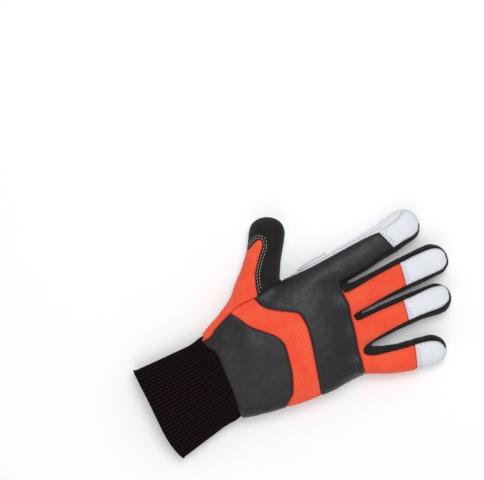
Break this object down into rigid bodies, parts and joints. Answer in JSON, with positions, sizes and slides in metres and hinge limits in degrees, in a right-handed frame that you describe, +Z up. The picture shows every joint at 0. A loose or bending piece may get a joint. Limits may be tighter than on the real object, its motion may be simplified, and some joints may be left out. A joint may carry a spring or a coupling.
{
  "type": "chainsaw glove",
  "caption": "Right-hand work glove in leather and cloth panels with a patched palm, side strips between the fingers, capped fingertips and a ribbed knit cuff, lying on its palm.",
  "frame": {"origin": "middle of the bounding box, at its bottom, on the surface that the glove lies on", "axes": "+Y along the fingers from the cuff, +Z up out of the back of the hand, thumb towards -X"},
  "size_m": [0.181, 0.295, 0.0364],
  "materials": {
    "white_leather": "soft white grain leather, matt",
    "black_leather": "charcoal grain leather, slightly glossy",
    "orange_cloth": "bright orange-red stretch twill, fluorescent",
    "black_cloth": "black stretch cloth",
    "black_knit": "black rib knit"
  },
  "bodies": {
    "root": {"knit_cuff": "black_knit", "palm_leather": "white_leather", "palm_patch": "white_leather", "thumb_palm": "white_leather", "thumb_back": "black_cloth", "thumb_side": "orange_cloth", "wrist_patch": "black_leather", "back_band": "orange_cloth", "knuckle_patch": "black_leather", "finger_backs": "orange_cloth", "strip_index_middle": "black_cloth", "strip_middle_ring": "black_cloth", "strip_ring_little": "black_cloth", "tip_index": "white_leather", "tip_middle": "white_leather", "tip_ring": "white_leather", "tip_little": "white_leather"}
  },
  "joints": []
}
